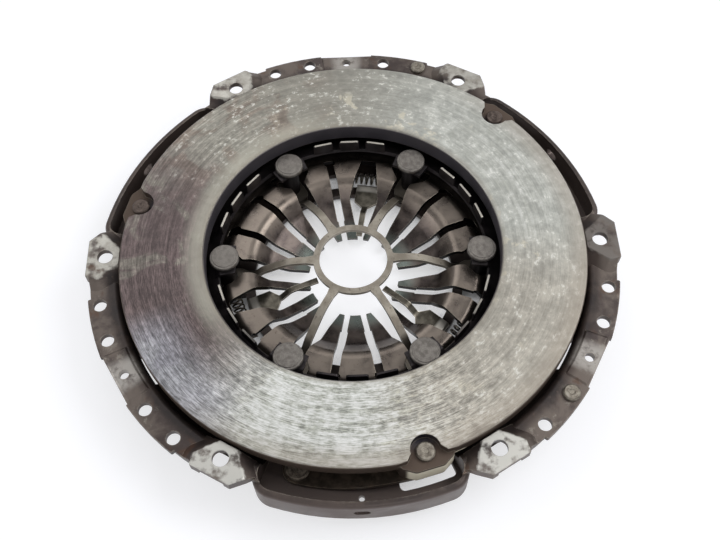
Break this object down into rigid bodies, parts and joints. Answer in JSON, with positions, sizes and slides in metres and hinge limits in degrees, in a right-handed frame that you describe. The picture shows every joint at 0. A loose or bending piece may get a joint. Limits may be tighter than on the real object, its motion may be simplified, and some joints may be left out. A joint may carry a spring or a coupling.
{
  "type": "clutch pressure plate",
  "caption": "Clutch cover with a ground ring-shaped friction plate, slit diaphragm spring, wear adjuster and a bolting flange, which presses a clutch disc on a flywheel.",
  "frame": {"origin": "centre of the bolt circle, in the plane of the six bolting pads that meet the flywheel", "axes": "+Z along the clutch axis towards the flywheel, +X through a bolt hole, +Y completes the frame"},
  "size_m": [0.2806, 0.2775, 0.0396],
  "materials": {
    "cover": "pressed steel, dark phosphate coat worn to metal on the pads",
    "cast_iron": "grey iron, friction face ground, the rest as cast",
    "diaphragm": "hardened and tempered spring steel, shot peened, satin",
    "sensor": "hardened spring steel, satin",
    "ring": "pressed steel, satin",
    "stop_ring": "stamped steel, satin",
    "stud": "turned steel",
    "coil": "spring wire",
    "leaf": "blued spring strip",
    "rivet": "rivet steel, formed heads",
    "tongue": "spring strip, satin"
  },
  "bodies": {
    "cover": {"cover": "cover", "stud_1": "stud", "stud_2": "stud", "stud_3": "stud", "stud_4": "stud", "stud_5": "stud", "stud_6": "stud", "release_stop_ring": "stop_ring", "sensor_spring": "sensor", "coil_spring_1": "coil", "coil_spring_2": "coil", "coil_spring_3": "coil", "leaf_spring_1_1": "leaf", "leaf_spring_1_2": "leaf", "leaf_spring_1_3": "leaf", "leaf_spring_2_1": "leaf", "leaf_spring_2_2": "leaf", "leaf_spring_2_3": "leaf", "leaf_spring_3_1": "leaf", "leaf_spring_3_2": "leaf", "leaf_spring_3_3": "leaf", "cover_rivet_1": "rivet", "cover_rivet_2": "rivet", "cover_rivet_3": "rivet", "balance_rivet_1": "rivet", "balance_rivet_2": "rivet", "stop_tongue_1": "tongue", "stop_tongue_2": "tongue", "stop_tongue_3": "tongue"},
    "diaphragm": {"diaphragm_spring": "diaphragm"},
    "adjuster": {"adjuster_ring": "ring"},
    "pressure_plate": {"pressure_plate": "cast_iron", "lug_rivet_1": "rivet", "lug_rivet_2": "rivet", "lug_rivet_3": "rivet"}
  },
  "joints": [
    {"name": "wear_lift", "type": "slide", "parent": "cover", "child": "diaphragm", "axis": [0, 0, 1], "range_m": [0, 0.002], "deforming": ["sensor_spring"]},
    {"name": "adjuster_turn", "type": "hinge", "parent": "diaphragm", "child": "adjuster", "pos_m": [0, 0, 0], "axis": [0, 0, 1], "range_deg": [0, 16], "deforming": ["coil_spring_1", "coil_spring_2", "coil_spring_3"]},
    {"name": "plate_travel", "type": "slide", "parent": "cover", "child": "pressure_plate", "axis": [0, 0, 1], "range_m": [-0.006, 0], "stiffness_N_per_m": 60000, "springref_m": 0.001, "deforming": ["diaphragm_spring", "leaf_spring_1_1", "leaf_spring_1_2", "leaf_spring_1_3", "leaf_spring_2_1", "leaf_spring_2_2", "leaf_spring_2_3", "leaf_spring_3_1", "leaf_spring_3_2", "leaf_spring_3_3"]}
  ],
  "couplings": [
    {"joint": "adjuster_turn", "follows": "wear_lift", "rad_per_m": 139.63}
  ]
}
